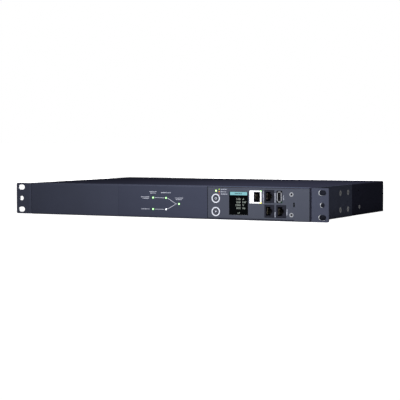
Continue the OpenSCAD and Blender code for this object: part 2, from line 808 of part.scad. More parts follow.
module network_jack_insert() {
    color("#15161a") translate([module_x0 + jack_x, 0, jack_z]) difference() {
        slab(jack_bay_x, [socket_front + 0.4, module_board_y], jack_bay_z);
        translate([jack_left, 0]) along_y([socket_front, cavity_back]) jack_opening();
    }
}

module aux_port(place) {
    color("#191b21") translate([module_x0 + place[0], 0, place[1]]) difference() {
        slab([-port_w / 2, port_w / 2], [socket_front, module_board_y], [-port_h / 2, port_h / 2]);
        translate([port_left, 0]) along_y([socket_front - 1, cavity_back]) jack_opening();
        // raised rim round the opening: the face steps back along both long edges
        for (s = [-1, 1]) translate([0, 0, s * (port_h / 2 - 0.5)])
            slab([-port_w / 2 - 1, port_w / 2 + 1], [socket_front - 1, socket_front + proud],
                [-0.5 - eps, 0.5 + eps]);
    }
}

module aux_port_upper() { aux_port(ports[0]); }
module aux_port_lower_left() { aux_port(ports[1]); }
module aux_port_lower_right() { aux_port(ports[2]); }

// Eight sprung wires of a jack: each leaves the rear wall and slants to the opening's left side
module jack_wires(x, z) {
    wire = 0.4;
    for (i = [0 : 7]) translate([x, 0, z + (i - 3.5) * 1.02 - wire / 2]) linear_extrude(height = wire)
        polygon([[2.4, cavity_back], [2, cavity_back], [0.5, cavity_back - 8], [0.5, cavity_back - 9.5],
            [0.9, cavity_back - 9.5], [0.9, cavity_back - 8.2]]);
}

usb_in = [4.5, 11.8];
usb_wall = 0.35;
usb_out = [usb_in[0] + 2 * usb_wall, usb_in[1] + 2 * usb_wall];
usb_back = socket_front + 12;

// Folded steel shell of the USB socket, with four flared lips at its mouth
module usb_shell() {
    lip = 1.1;
    color("#d4d7db") translate([module_x0 + usb_x, 0, usb_z]) {
        difference() {
            along_y([socket_front + 0.6, module_board_y]) round_rect(usb_out[0], usb_out[1], 0.6);
            along_y([socket_front, module_board_y + 1]) square(usb_in, center = true);
        }
        for (s = [-1, 1]) {
            along_y([socket_front, socket_front + 1]) translate([s * (usb_in[0] + lip) / 2, 0])
                square([lip, usb_in[1] - 1.6], center = true);
            along_y([socket_front, socket_front + 1]) translate([0, s * (usb_in[1] + lip) / 2])
                square([usb_in[0] - 1, lip], center = true);
        }
    }
}

// Insulating block at the shell's rear with the contact tongue towards +X
module usb_tongue() {
    color("#e9e9e4") translate([module_x0 + usb_x, 0, usb_z]) {
        slab([-usb_in[0] / 2, usb_in[0] / 2], [usb_back, module_board_y], [-usb_in[1] / 2, usb_in[1] / 2]);
        slab([usb_in[0] / 2 - 2.1, usb_in[0] / 2 - 0.5], [socket_front + 1.5, usb_back + eps],
            [-usb_in[1] / 2 + 0.6, usb_in[1] / 2 - 0.6]);
    }
}

module port_contacts() {
    color("gold") {
        jack_wires(module_x0 + jack_x + jack_left, jack_z);
        for (p = ports) jack_wires(module_x0 + p[0] + port_left, p[1]);
        for (i = [-1.5, -0.5, 0.5, 1.5]) translate([module_x0 + usb_x, 0, usb_z + i * 2.2])
            slab([usb_in[0] / 2 - 2.4, usb_in[0] / 2 - 2.1], [socket_front + 2, usb_back], [-0.5, 0.5]);
    }
}

// ---------------------------------------------------------------- front row of boards

network_x = [network_x1 - network_w, network_x1];
supply_x = [supply_x1 - supply_w, supply_x1];
control_x = [control_x0, control_x0 + control_w];
front_row_y = [front_row, front_row + logic_d];
processor = [24, 24, 1.6];
memory = [18, 12, 1.2];
controller = [20, 20, 1.6];
driver = [8, 12, 3.4];
driver_step = 14;
board_plug = [36, 8, 9];
plug_step = 62;
network_fix = fixings(network_x, front_row_y, 2);
supply_fix = fixings(supply_x, front_row_y, 2);
control_fix = fixings(control_x, front_row_y, 3);

// A flat part on a board: its lower left corner, counted from the board's, and its three sizes
module board_part(x, at, size) {
    translate([x + at[0], front_row + at[1], board_top]) cube(size);
}

module network_board() {
    board(network_x, front_row_y, network_fix);
    color("#1a1b1f") {
        board_part(network_x[0], [20, 26], processor);
        board_part(network_x[0], [58, 30], memory);
    }
}

module control_board() { board(control_x, front_row_y, control_fix); }

// Processor, gate drivers and board connectors
module control_chips() {
    color("#1a1b1f") {
        board_part(control_x[0], [30, 28], controller);
        for (i = [0 : 3]) board_part(control_x[0], [66 + i * driver_step, 40], driver);
    }
    color("ivory") for (i = [0, 1]) board_part(control_x[0], [20 + i * plug_step, 62], board_plug);
}

module supply_board() { board(supply_x, front_row_y, supply_fix); }

// Transformer: a ferrite core of two halves round a wound bobbin
module supply_transformer() {
    core = [32, 18, 24.5];
    leg = 4;
    middle_leg = 9;
    lift = 1.5;
    winding = 12;
    play = 0.1;
    translate([supply_x[0] + 30, front_row + 38, board_top]) {
        color("#2a2b30") translate([0, 0, lift]) difference() {
            translate([-core[0] / 2, -core[1] / 2, 0]) cube(core);
            for (s = [0, 1]) mirror([s, 0, 0])
                slab([middle_leg / 2, core[0] / 2 - leg], [-winding, winding], [leg, core[2] - leg]);
        }
        color("#e6b800") difference() {
            slab([-core[0] / 2 + leg + 0.5, core[0] / 2 - leg - 0.5], [-winding, winding],
                [lift + leg + 0.5, lift + core[2] - leg - 0.5]);
            slab([-middle_leg / 2 - play, middle_leg / 2 + play], [-core[1] / 2 - play, core[1] / 2 + play],
                [lift, lift + core[2]]);
        }
        color("#1a1b1f") for (s = [0, 1]) mirror([0, s, 0])
            slab([-13, 13], [core[1] / 2, winding], [0, lift + leg + 0.5]);
    }
}

module supply_capacitors() {
    can_r = 5;
    can_h = 20;
    step = 13;
    bead = 0.3;
    color("#24325c") for (i = [0 : 2])
        translate([supply_x[0] + 60 + i * step, front_row + 44, board_top]) {
            rod_z(can_r, [0, can_h]);
            rod_z(can_r + bead, [2 * bead, 2 * bead + 1]);
        }
}

// ---------------------------------------------------------------- power row

power_x = [power_x0, power_x0 + power_w];
power_row_y = [power_row, power_row + power_d];
power_fix = fixings(power_x, power_row_y, 4);
ring_places = [for (i = [0, 1]) [power_x[0] + 150 + i * 46, power_row + 62]];
fuse_x = 262;

module power_board() { board(power_x, power_row_y, power_fix); }

// Cartridge fuses of both sources, each lying in two spring clips
module input_fuses() {
    body_r = 4.6;
    cap_r = 5.1;
    body_half = 13;
    cap_half = 19;
    axis_z = 9;
    clip = [5, 12];
    step = 22;
    for (i = [0 : 3]) translate([power_x[0] + fuse_x, power_row + 16 + i * step, board_top]) {
        color("#d9dcc8") translate([0, 0, axis_z]) rod_x(body_r, [-body_half, body_half]);
        color("silver") for (s = [0, 1]) mirror([s, 0, 0]) {
            translate([0, 0, axis_z]) rod_x(cap_r, [body_half, cap_half]);
            translate([(body_half + cap_half) / 2 - clip[0] / 2, -clip[1] / 2, 0])
                cube([clip[0], clip[1], axis_z]);
        }
    }
}

// Common-mode chokes: a coated ring, wound on two opposite sides, on a base plate
module line_chokes() {
    base = 34;
    base_t = 2;
    ring_mid = 13;
    ring_t = 6;
    ring_h = 16;
    wire = [1.6, 1.4];
    wire_w = 1.8;
    for (p = ring_places) translate([p[0], p[1], board_top]) {
        color("#1a1b1f") slab([-base / 2, base / 2], [-base / 2, base / 2], [0, base_t]);
        translate([0, 0, base_t + ring_h / 2]) {
            color("#3f7a4f") rotate_extrude() translate([ring_mid, 0])
                square([ring_t, ring_h], center = true);
            color("#b5622b") for (a = [-50 : 20 : 50], s = [0, 180]) rotate([0, 0, a + s])
                translate([ring_mid, 0, 0]) rotate([90, 0, 0])
                    linear_extrude(height = wire_w, center = true) difference() {
                        square([ring_t + 2 * wire[0], ring_h + 2 * wire[1]], center = true);
                        square([ring_t + 2 * eps, ring_h + 2 * eps], center = true);
                    }
        }
    }
}

// Film capacitors across each input
module filter_capacitors() {
    box = [23, 12, 18];
    step = 27;
    color("#b8a13a") for (i = [0 : 3])
        translate([power_x[0] + 122 + i * step, power_row + 18, board_top]) cube(box);
}

// Relays that open the neutral of the source that is not in use
module transfer_relays() {
    relay = [30, 24, 24];
    step = [44, 36];
    color("#2b3f78") for (i = [0, 1], j = [0, 1])
        translate([power_x[0] + 14 + i * step[0], power_row + 22 + j * step[1], board_top]) cube(relay);
}

// Output current sensor: a moulded ring on a foot
module current_sensor() {
    ring_r = 12;
    hole_r = 5.5;
    ring_w = 10;
    axis_z = 13;
    foot = [10, 18, 6];
    color("#202127") translate([power_x[0] + 108, power_row + 80, board_top]) {
        difference() {
            translate([0, 0, axis_z]) rod_x(ring_r, [-ring_w / 2, ring_w / 2]);
            translate([0, 0, axis_z]) rod_x(hole_r, [-ring_w, ring_w]);
        }
        translate([-foot[0] / 2, -foot[1] / 2, 0]) cube(foot);
    }
}

// Extruded sink on the floor: fins on both sides of a clear channel
module heat_sink() {
    color("#b9bcc2") translate([sink_mid, power_row + power_d, floor_z]) rotate([90, 0, 0])
        linear_extrude(height = power_d) {
            translate([-sink_w / 2, 0]) square([sink_w, sink_base]);
            for (s = [0, 1]) mirror([s, 0]) for (i = [0 : fin_count - 1])
                translate([channel_w / 2 + 2 + i * fin_step, sink_base - eps]) square([fin_t, fin_h]);
        }
}

// A thyristor module bolted down in the channel, with its screw terminals on top
module thyristor(i) {
    base = [38, 21, 7];
    tower = [28, 21, 11];
    bolt = 16.5;
    terminal = [7, 7, 0.8];
    terminal_at = [8.5, 5.5];
    pitch = power_d / 4;
    translate([sink_mid, power_row + pitch * (i + 0.5), floor_z + sink_base]) {
        color("#1c1d22") difference() {
            for (b = [base, tower]) translate([-b[0] / 2, -b[1] / 2, 0]) cube(b);
            for (s = [-1, 1]) translate([s * bolt, 0, 0]) rod_z(1.7, [-1, base[2] + 1]);
        }
        color("silver") for (x = [-1, 1], y = [-1, 1])
            translate([x * terminal_at[0], y * terminal_at[1], tower[2]]) {
                translate([-terminal[0] / 2, -terminal[1] / 2, 0]) cube(terminal);
                rod_z(2.4, [terminal[2], 3]);
            }
    }
}

module thyristors_source_a() { for (i = [0, 1]) thyristor(i); }
module thyristors_source_b() { for (i = [2, 3]) thyristor(i); }

// ---------------------------------------------------------------- rear side

inlet_body_w = 32.4;
inlet_body_h = 24;
inlet_screw_x = inlet_w / 2 - 4;
inlet_flange = 2.4;
inlet_sink = 1.4;
cavity = [28.4, 20.2];
cavity_d = 18;
pin = [8, 2];
pin_play = 0.05;
pin_places = [[-6.5, -3.6], [6.5, -3.6], [0, 4.4]];

// Outline of the inlet's cavity: a rectangle with its two upper corners cut off
module inlet_outline() {
    cut = 3;
    w = cavity[0] / 2;
    h = cavity[1] / 2;
    polygon([[-w, -h], [w, -h], [w, h - cut], [w - cut, h], [-w + cut, h], [-w, h - cut]]);
}

module inlet(x) {
    color("#1b1c20") translate([x, 0, 0]) difference() {
        union() {
            along_y([back_y, back_y + inlet_flange]) round_rect(inlet_w, inlet_h, 3);
            along_y([back_y - inlet_depth, back_y + eps])
                square([inlet_body_w, inlet_body_h], center = true);
        }
        along_y([back_y + inlet_flange - cavity_d, back_y + inlet_flange + 1]) inlet_outline();
        for (p = pin_places) translate([0, 0, p[1]])
            slab([p[0] - pin[0] / 2 - pin_play, p[0] + pin[0] / 2 + pin_play],
                [back_y - inlet_depth - 1, back_y], [-pin[1] / 2 - pin_play, pin[1] / 2 + pin_play]);
        for (s = [-1, 1]) translate([s * inlet_screw_x, back_y + inlet_flange, 0])
            rotate([0, 0, -90]) sunk_seat_x(small_head, small_shank, inlet_sink, inlet_flange + 1);
    }
}

module inlet_a() { inlet(inlet_xs[0]); }
module inlet_b() { inlet(inlet_xs[1]); }

// Blades of both inlets, which run through to the tabs behind
module inlet_pins() {
    color("silver") for (x = inlet_xs, p = pin_places) translate([x, 0, p[1]])
        slab([p[0] - pin[0] / 2, p[0] + pin[0] / 2], [back_y - inlet_depth - 7, back_y + inlet_flange - 3],
            [-pin[1] / 2, pin[1] / 2]);
}

module inlet_screws() {
    color("#17181c") for (x = inlet_xs, s = [-1, 1])
        translate([x + s * inlet_screw_x, back_y + inlet_flange, 0]) rotate([0, 0, -90])
            sunk_screw_x(small_head, small_shank - pin_play, inlet_sink, 8);
}

// One receptacle: two blade slots, the upper one with a cross slot, and a round earth hole
module receptacle_slots() {
    blade = [8.2, 2.2];
    cross = 6.4;
    rise = 6.35;
    earth_d = 5.2;
    translate([4, -rise]) square(blade, center = true);
    translate([4, rise]) square(blade, center = true);
    translate([4, rise + blade[1]]) square([blade[1], cross], center = true);
    translate([-8.2, 0]) circle(d = earth_d);
    translate([-7.2, 0]) square([2, earth_d], center = true);
}

// A bank of four receptacles moulded in one body, held behind the wall's cut-out
module outlet_block(x) {
    bezel_t = 1.2;
    pad_t = 1.4;
    color("#202127") translate([x, 0, 0]) difference() {
        union() {
            along_y([back_y, back_y + bezel_t]) round_rect(block_w, outlet_h + 4, 1.5);
            along_y([back_y - outlet_depth, back_y + eps])
                square([block_w - block_lip, outlet_h], center = true);
            for (i = [-1.5 : 1.5]) translate([i * outlet_pitch, 0, 0])
                along_y([back_y + bezel_t - eps, back_y + bezel_t + pad_t]) receptacle_pad();
        }
        for (i = [-1.5 : 1.5]) translate([i * outlet_pitch, 0, 0])
            along_y([back_y - 12, back_y + 5]) receptacle_slots();
    }
}

// Raised face of a receptacle, with its corners cut off
module receptacle_pad() {
    w = 14.5;
    h = 12.5;
    cut = 3;
    polygon([[-w, -h + cut], [-w + cut, -h], [w - cut, -h], [w, -h + cut],
        [w, h - cut], [w - cut, h], [-w + cut, h], [-w, h - cut]]);
}

module outlet_block_right() { outlet_block(block_xs[0]); }
module outlet_block_left() { outlet_block(block_xs[1]); }

// Three strips that join all receptacles behind the blocks
module outlet_busbars() {
    bar_t = 1.5;
    bar_h = 5;
    end = 8;
    bar_x = [block_xs[1] - block_w / 2 + end, block_xs[0] + block_w / 2 - end];
    color("#c77a3a") for (z = [-8, 0, 8])
        slab(bar_x, [back_y - outlet_depth - bar_t, back_y - outlet_depth], [z - bar_h / 2, z + bar_h / 2]);
}

// Earth stud: its head is inside, its washer and nut outside
module ground_stud() {
    r = stud_d / 2;
    hex_r = r + 2.2;
    head_h = 3;
    nut_h = 4;
    washer_t = 0.8;
    color("#c9a45a") translate([stud_x, 0, 0]) {
        rod_y(r, [back_y - sheet_t - 1, back_y + stud_len]);
        translate([0, back_y - sheet_t - head_h, 0]) rotate([-90, 0, 0])
            cylinder(r = hex_r, h = head_h, $fn = 6);
    }
    color("silver") translate([stud_x, 0, 0]) difference() {
        union() {
            rod_y(r + 2.6, [back_y, back_y + washer_t]);
            translate([0, back_y + washer_t, 0]) rotate([-90, 0, 0])
                cylinder(r = hex_r, h = nut_h, $fn = 6);
        }
        rod_y(r + thread_play, [back_y - 1, back_y + nut_h + 2]);
    }
}

// Tapped stand-offs on the floor, each with the screw that holds its board down
module board_mounts() {
    fixing_places = concat(network_fix, supply_fix, control_fix, power_fix);
    color("silver") for (p = fixing_places) translate([p[0], p[1], 0]) {
        difference() {
            rod_z(3, [floor_z, board_z]);
            rod_z(small_shank + thread_play, [floor_z + 1, board_z + 1]);
        }
        rod_z(small_shank, [board_z - 4, board_top + 1]);
        rod_z(small_head, [board_top, board_top + pan_h]);
    }
}

chassis_base();
top_cover();
rack_ear_left();
rack_ear_right();
ear_screws();
ear_nuts();
cover_screws();
status_film();
status_light_pipes();
standby_light_pipe();
status_board();
status_posts();
module_faceplate();
module_board();
module_posts();
accessory_inserts();
module_screws();
lcd_glass();
lcd_module();
indicator_light_pipe();
button_bezels();
upper_button_cap();
lower_button_cap();
tact_switches();
upper_switch_plunger();
lower_switch_plunger();
network_jack_shield();
network_jack_insert();
link_lamp();
activity_lamp();
aux_port_upper();
aux_port_lower_left();
aux_port_lower_right();
usb_shell();
usb_tongue();
port_contacts();
network_board();
control_board();
control_chips();
supply_board();
supply_transformer();
supply_capacitors();
power_board();
input_fuses();
line_chokes();
filter_capacitors();
transfer_relays();
current_sensor();
heat_sink();
thyristors_source_a();
thyristors_source_b();
inlet_a();
inlet_b();
inlet_pins();
inlet_screws();
outlet_block_left();
outlet_block_right();
outlet_busbars();
ground_stud();
board_mounts();
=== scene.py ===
"""Rack static transfer switch: finishes, printed marks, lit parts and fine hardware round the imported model.

Lengths in the mesh code are in millimetres and are turned to metres when a mesh is finished.
"""
import json
import math

import bmesh
import bpy
from mathutils import Matrix, Vector


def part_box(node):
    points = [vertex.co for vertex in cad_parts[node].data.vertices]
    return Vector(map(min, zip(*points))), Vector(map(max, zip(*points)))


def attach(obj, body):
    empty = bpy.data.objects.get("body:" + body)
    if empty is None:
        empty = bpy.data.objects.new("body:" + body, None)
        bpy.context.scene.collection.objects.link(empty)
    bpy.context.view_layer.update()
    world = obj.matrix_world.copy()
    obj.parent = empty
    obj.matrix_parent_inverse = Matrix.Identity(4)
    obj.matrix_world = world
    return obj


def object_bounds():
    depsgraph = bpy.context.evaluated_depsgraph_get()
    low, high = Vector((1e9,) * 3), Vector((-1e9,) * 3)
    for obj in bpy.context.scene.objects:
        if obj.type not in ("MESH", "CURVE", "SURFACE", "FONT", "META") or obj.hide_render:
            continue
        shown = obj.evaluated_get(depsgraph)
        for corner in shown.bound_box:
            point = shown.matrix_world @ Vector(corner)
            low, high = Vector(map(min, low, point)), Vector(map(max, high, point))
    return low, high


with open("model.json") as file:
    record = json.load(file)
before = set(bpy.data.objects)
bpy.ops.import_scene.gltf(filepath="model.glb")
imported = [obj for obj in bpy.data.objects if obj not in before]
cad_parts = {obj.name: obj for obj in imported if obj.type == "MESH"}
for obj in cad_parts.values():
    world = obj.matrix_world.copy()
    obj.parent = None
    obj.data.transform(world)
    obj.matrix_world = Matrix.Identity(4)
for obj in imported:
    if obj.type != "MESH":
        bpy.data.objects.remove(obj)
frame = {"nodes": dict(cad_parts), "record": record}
NODES = frame["nodes"]
cad_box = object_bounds()
MM = 0.001


def extent(name):
    """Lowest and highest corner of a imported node, in millimetres."""
    low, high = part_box(name)
    return low / MM, high / MM


# ---------------------------------------------------------------- small helpers for nodes and colours

def linear(code):
    """An sRGB hex colour as linear RGBA."""
    parts = [int(code[i:i + 2], 16) / 255 for i in (1, 3, 5)]
    return tuple(c / 12.92 if c <= 0.04045 else ((c + 0.055) / 1.055) ** 2.4 for c in parts) + (1.0,)


def add(tree, kind, inputs=None, **settings):
    """Adds a node, sets its options, and sets or links its inputs."""
    node = tree.nodes.new(kind)
    for name, value in settings.items():
        setattr(node, name, value)
    for key, value in (inputs or {}).items():
        if isinstance(value, bpy.types.NodeSocket):
            tree.links.new(value, node.inputs[key])
        else:
            node.inputs[key].default_value = value
    return node


# ---------------------------------------------------------------- camera, light and floor

# The viewing angles in degrees, the distance and the point looked at in metres, and the lens in millimetres.
VIEW_AZIMUTH, VIEW_ELEVATION, VIEW_ROLL = 27.39, 2.83, -0.12
VIEW_DISTANCE, VIEW_TARGET = 1.7776, (0.05638, -0.002, 0.00322)
LENS, SENSOR = 119.46, 36.0


def set_camera():
    azimuth, elevation, roll = (math.radians(angle) for angle in (VIEW_AZIMUTH, VIEW_ELEVATION, VIEW_ROLL))
    target = Vector(VIEW_TARGET)
    back = Vector((math.sin(azimuth) * math.cos(elevation), -math.cos(azimuth) * math.cos(elevation),
                   math.sin(elevation)))
    right = (-back).cross(Vector((0, 0, 1))).normalized()
    up = right.cross(-back)
    tilted_right = right * math.cos(roll) + up * math.sin(roll)
    tilted_up = up * math.cos(roll) - right * math.sin(roll)
    data = bpy.data.cameras.new("camera")
    data.sensor_width, data.lens, data.clip_end = SENSOR, LENS, 50.0
    camera = bpy.data.objects.new("camera", data)
    camera.matrix_world = Matrix.Translation(target + back * VIEW_DISTANCE) @ Matrix(
        (tilted_right, tilted_up, back)).transposed().to_4x4()
    bpy.context.scene.collection.objects.link(camera)
    bpy.context.scene.camera = camera


def looks_at_background(tree):
    """1 for the rays that meet the background as a picture: from the camera, off gloss or through glass."""
    path = add(tree, "ShaderNodeLightPath")
    either = add(tree, "ShaderNodeMath", {0: path.outputs["Is Camera Ray"], 1: path.outputs["Is Glossy Ray"]},
                 operation="MAXIMUM")
    return add(tree, "ShaderNodeMath", {0: either.outputs[0], 1: path.outputs["Is Transmission Ray"]},
               operation="MAXIMUM").outputs[0]


def set_world(ambient):
    world = bpy.data.worlds.new("white_studio")
    world.use_nodes = True
    tree = world.node_tree
    tree.nodes.clear()
    strength = add(tree, "ShaderNodeMapRange",
                   {"Value": looks_at_background(tree), "To Min": ambient, "To Max": 1.0})
    light = add(tree, "ShaderNodeBackground", {"Color": (1, 1, 1, 1), "Strength": strength.outputs[0]})
    add(tree, "ShaderNodeOutputWorld", {"Surface": light.outputs[0]})
    bpy.context.scene.world = world


def softbox(name, place, aim, size, watts):
    data = bpy.data.lights.new(name, "AREA")
    data.shape, data.size, data.size_y, data.energy = "RECTANGLE", size[0], size[1], watts
    lamp = bpy.data.objects.new(name, data)
    lamp.location = place
    lamp.rotation_euler = (Vector(aim) - Vector(place)).to_track_quat("-Z", "Y").to_euler()
    bpy.context.scene.collection.objects.link(lamp)


FLOOR_GAP = 0.0002    # keeps the floor clear of the base, in metres
FLOOR_GLOW = 0.93     # with the lamps' light on it the paper just reaches white


def make_floor():
    """White paper: it looks white by itself and still keeps a soft shadow under the housing."""
    reach, level = 12.0, cad_box[0][2] - FLOOR_GAP
    corners = [(x * reach, y * reach, level) for x, y in ((-1, -1), (1, -1), (1, 1), (-1, 1))]
    mesh = bpy.data.meshes.new("studio_floor")
    mesh.from_pydata(corners, [], [(0, 1, 2, 3)])
    floor = bpy.data.objects.new("studio_floor", mesh)
    bpy.context.scene.collection.objects.link(floor)
    paper = bpy.data.materials.new("white_paper_floor")
    paper.use_nodes = True
    tree = paper.node_tree
    tree.nodes.clear()
    matt = add(tree, "ShaderNodeBsdfDiffuse", {"Color": linear("#b4b4b4")})
    own = add(tree, "ShaderNodeEmission", {"Color": (1, 1, 1, 1), "Strength": FLOOR_GLOW})
    both = add(tree, "ShaderNodeAddShader", {0: matt.outputs[0], 1: own.outputs[0]})
    mix = add(tree, "ShaderNodeMixShader",
              {0: looks_at_background(tree), 1: matt.outputs[0], 2: both.outputs[0]})
    add(tree, "ShaderNodeOutputMaterial", {"Surface": mix.outputs[0]})
    mesh.materials.append(paper)


bpy.context.scene.view_settings.view_transform = "Standard"
set_camera()
set_world(ambient=0.22)
# Each lamp: its place, the point it aims at, its two sides in metres, and its power in watts.
softbox("key", (0.16, -0.42, 0.26), (0.13, 0.0, 0.0), (0.1, 0.2), 3.6)
softbox("top_right", (0.152, 0.08, 0.3), (0.16, 0.08, 0.0), (0.12, 0.2), 1.1)
softbox("rear_fill", (-0.7, 1.5, 0.25), (0.0, 0.2, 0.0), (1.0, 0.5), 9.0)
make_floor()


# ---------------------------------------------------------------- materials

def new_material(name):
    """An empty material with a Principled shader; returns the material, its tree and the shader."""
    material = bpy.data.materials.new(name)
    material.use_nodes = True
    tree = material.node_tree
    tree.nodes.clear()
    shader = add(tree, "ShaderNodeBsdfPrincipled")
    add(tree, "ShaderNodeOutputMaterial", {"Surface": shader.outputs[0]})
    return material, tree, shader


def pattern(tree, size_mm, stretch=(1, 1, 1), detail=2.0):
    """A noise with grains about size_mm across, fixed to the piece; stretch lengthens them along an axis."""
    place = add(tree, "ShaderNodeTexCoord")
    scaled = add(tree, "ShaderNodeMapping", {"Vector": place.outputs["Object"],
                                             "Scale": [1 / (size_mm * MM * s) for s in stretch]})
    return add(tree, "ShaderNodeTexNoise", {"Vector": scaled.outputs[0], "Scale": 1.0, "Detail": detail})


def between(tree, factor, low, high, from_low=0.3, from_high=0.7):
    return add(tree, "ShaderNodeMapRange", {"Value": factor, "From Min": from_low, "From Max": from_high,
                                            "To Min": low, "To Max": high}).outputs[0]


def blend_colours(tree, factor, first, second):
    mix = add(tree, "ShaderNodeMix", {0: factor}, data_type="RGBA")
    for socket, colour in ((6, first), (7, second)):
        if isinstance(colour, bpy.types.NodeSocket):
            tree.links.new(colour, mix.inputs[socket])
        else:
            mix.inputs[socket].default_value = linear(colour)
    return mix.outputs[2]


def surface(name, colour, second, grain_mm, roughness, bump_mm=0.0, metallic=0.0, specular=0.5,
            stretch=(1, 1, 1), patch_mm=30.0, ior=1.5):
    """A finish with two close colours in soft patches, a grain that varies the gloss, and a fine relief.

    Grains finer than 0.5 mm are drawn at 0.4 to 0.8 mm, so that they show."""
    material, tree, shader = new_material(name)
    patches = pattern(tree, patch_mm, stretch)
    grain = pattern(tree, grain_mm, stretch)
    tint = between(tree, patches.outputs[0], 0.0, 1.0)
    tree.links.new(blend_colours(tree, tint, colour, second), shader.inputs["Base Color"])
    tree.links.new(between(tree, grain.outputs[0], *roughness), shader.inputs["Roughness"])
    shader.inputs["Metallic"].default_value = metallic
    shader.inputs["Specular IOR Level"].default_value = specular
    if not metallic:
        shader.inputs["IOR"].default_value = ior
    if bump_mm:
        relief = add(tree, "ShaderNodeBump", {"Height": grain.outputs[0], "Strength": 1.0,
                                              "Distance": bump_mm * MM})
        tree.links.new(relief.outputs[0], shader.inputs["Normal"])
    return material


def powder_coat(name, colour, second, slot_glint=False):
    """Polyester powder coat, sprayed on steel and baked to a dead matt skin: it keeps its colour from every
    side and gives no mirror image.  Its orange peel has 0.4 mm cells, drawn 1.2 mm wide so that they show."""
    material, tree, shader = new_material(name)
    patches = pattern(tree, 55.0)
    peel = pattern(tree, 1.2, detail=3.0)
    specks = pattern(tree, 2.6)
    tint = between(tree, patches.outputs[0], 0.0, 1.0)
    skin = blend_colours(tree, tint, colour, second)
    roughness = between(tree, specks.outputs[0], 0.5, 0.62)
    if slot_glint:
        skin, roughness, metal = paint_slot_wall_glints(tree, skin, roughness)
        tree.links.new(metal, shader.inputs["Metallic"])
    tree.links.new(skin, shader.inputs["Base Color"])
    tree.links.new(roughness, shader.inputs["Roughness"])
    shader.inputs["Specular IOR Level"].default_value = 0.0
    relief = add(tree, "ShaderNodeBump", {"Height": peel.outputs[0], "Strength": 0.5, "Distance": 0.06 * MM})
    tree.links.new(relief.outputs[0], shader.inputs["Normal"])
    return material


def paint_slot_wall_glints(tree, skin, roughness):
    """Paints the cut walls inside the ears' slots, in patches, as bright glossy zinc: a painted highlight
    that stands in for the glints on those walls.
    """
    shape = add(tree, "ShaderNodeNewGeometry")
    place = add(tree, "ShaderNodeTexCoord")
    normal = add(tree, "ShaderNodeSeparateXYZ", {0: shape.outputs["True Normal"]})
    point = add(tree, "ShaderNodeSeparateXYZ", {0: place.outputs["Object"]})

    def absolute(socket):
        return add(tree, "ShaderNodeMath", {0: socket}, operation="ABSOLUTE").outputs[0]

    def below(socket, limit):
        return add(tree, "ShaderNodeMath", {0: socket, 1: limit}, operation="LESS_THAN").outputs[0]

    def both(first, second):
        return add(tree, "ShaderNodeMath", {0: first, 1: second}, operation="MULTIPLY").outputs[0]

    from_column = add(tree, "ShaderNodeMath", {0: absolute(point.outputs[0]), 1: SLOT_COLUMN * MM},
                      operation="SUBTRACT").outputs[0]
    cut_wall = below(absolute(normal.outputs[1]), 0.4)
    inside = both(below(absolute(from_column), SLOT_REACH[0] * MM),
                  below(absolute(point.outputs[2]), SLOT_REACH[1] * MM))
    glint_patches = pattern(tree, 3.0)
    patchy = between(tree, glint_patches.outputs[0], 0.35, 1.0, 0.35, 0.5)
    slot_glint = both(both(cut_wall, inside), patchy)
    # Painted highlight: the slot walls blend to bright zinc-grey, glossier and metallic.
    colour = blend_colours(tree, slot_glint, skin, "#d5d8de")
    rough = add(tree, "ShaderNodeMapRange", {"Value": slot_glint, "To Min": roughness, "To Max": 0.35}).outputs[0]
    return colour, rough, slot_glint


def lit_lens(name, core, rim, strength):
    """Clear polycarbonate light pipe with its chip lit behind: almost white-hot in the middle, where the dome
    faces forward, and the chip's own colour round the edge."""
    material, tree, shader = new_material(name)
    shape = add(tree, "ShaderNodeNewGeometry")
    facing = add(tree, "ShaderNodeSeparateXYZ", {0: shape.outputs["Normal"]})
    front = between(tree, add(tree, "ShaderNodeMath", {0: facing.outputs[1], 1: -1.0},
                              operation="MULTIPLY").outputs[0], 0.0, 1.0, 0.75, 0.99)
    haze = pattern(tree, 0.5)
    uneven = between(tree, haze.outputs[0], 0.85, 1.0)
    glow = add(tree, "ShaderNodeMath", {0: front, 1: uneven}, operation="MULTIPLY").outputs[0]
    colour = blend_colours(tree, glow, rim, core)
    tree.links.new(colour, shader.inputs["Emission Color"])
    tree.links.new(colour, shader.inputs["Base Color"])
    shader.inputs["Emission Strength"].default_value = strength
    shader.inputs["Roughness"].default_value = 0.18
    shader.inputs["IOR"].default_value = 1.58
    return material


def glowing_display(name, colour, dim, strength):
    """Lit display cells behind the glass: flat light with a faint dot raster of 0.25 mm, drawn at 0.5 mm."""
    material, tree, shader = new_material(name)
    raster = pattern(tree, 0.5)
    tint = between(tree, raster.outputs[0], 0.0, 1.0, 0.4, 0.6)
    light = blend_colours(tree, tint, dim, colour)
    tree.links.new(light, shader.inputs["Emission Color"])
    shader.inputs["Base Color"].default_value = linear("#101214")
    shader.inputs["Emission Strength"].default_value = strength
    shader.inputs["Roughness"].default_value = 0.4
    shader.inputs["Specular IOR Level"].default_value = 0.1
    return material


def printed_board():
    """FR-4 glass laminate under green solder mask: glossy, with paler copper tracks showing through."""
    material, tree, shader = new_material("green_solder_mask_board")
    place = add(tree, "ShaderNodeTexCoord")
    tracks = add(tree, "ShaderNodeTexBrick", {"Vector": place.outputs["Object"], "Scale": 1 / (9 * MM),
                                              "Color1": linear("#0d4a27"), "Color2": linear("#115430"),
                                              "Mortar": linear("#2c7a48"), "Mortar Size": 0.045})
    weave = pattern(tree, 1.0)
    tree.links.new(tracks.outputs[0], shader.inputs["Base Color"])
    tree.links.new(between(tree, weave.outputs[0], 0.25, 0.4), shader.inputs["Roughness"])
    relief = add(tree, "ShaderNodeBump", {"Height": tracks.outputs["Fac"], "Strength": 0.6,
                                          "Distance": 0.05 * MM}, invert=True)
    tree.links.new(relief.outputs[0], shader.inputs["Normal"])
    return material


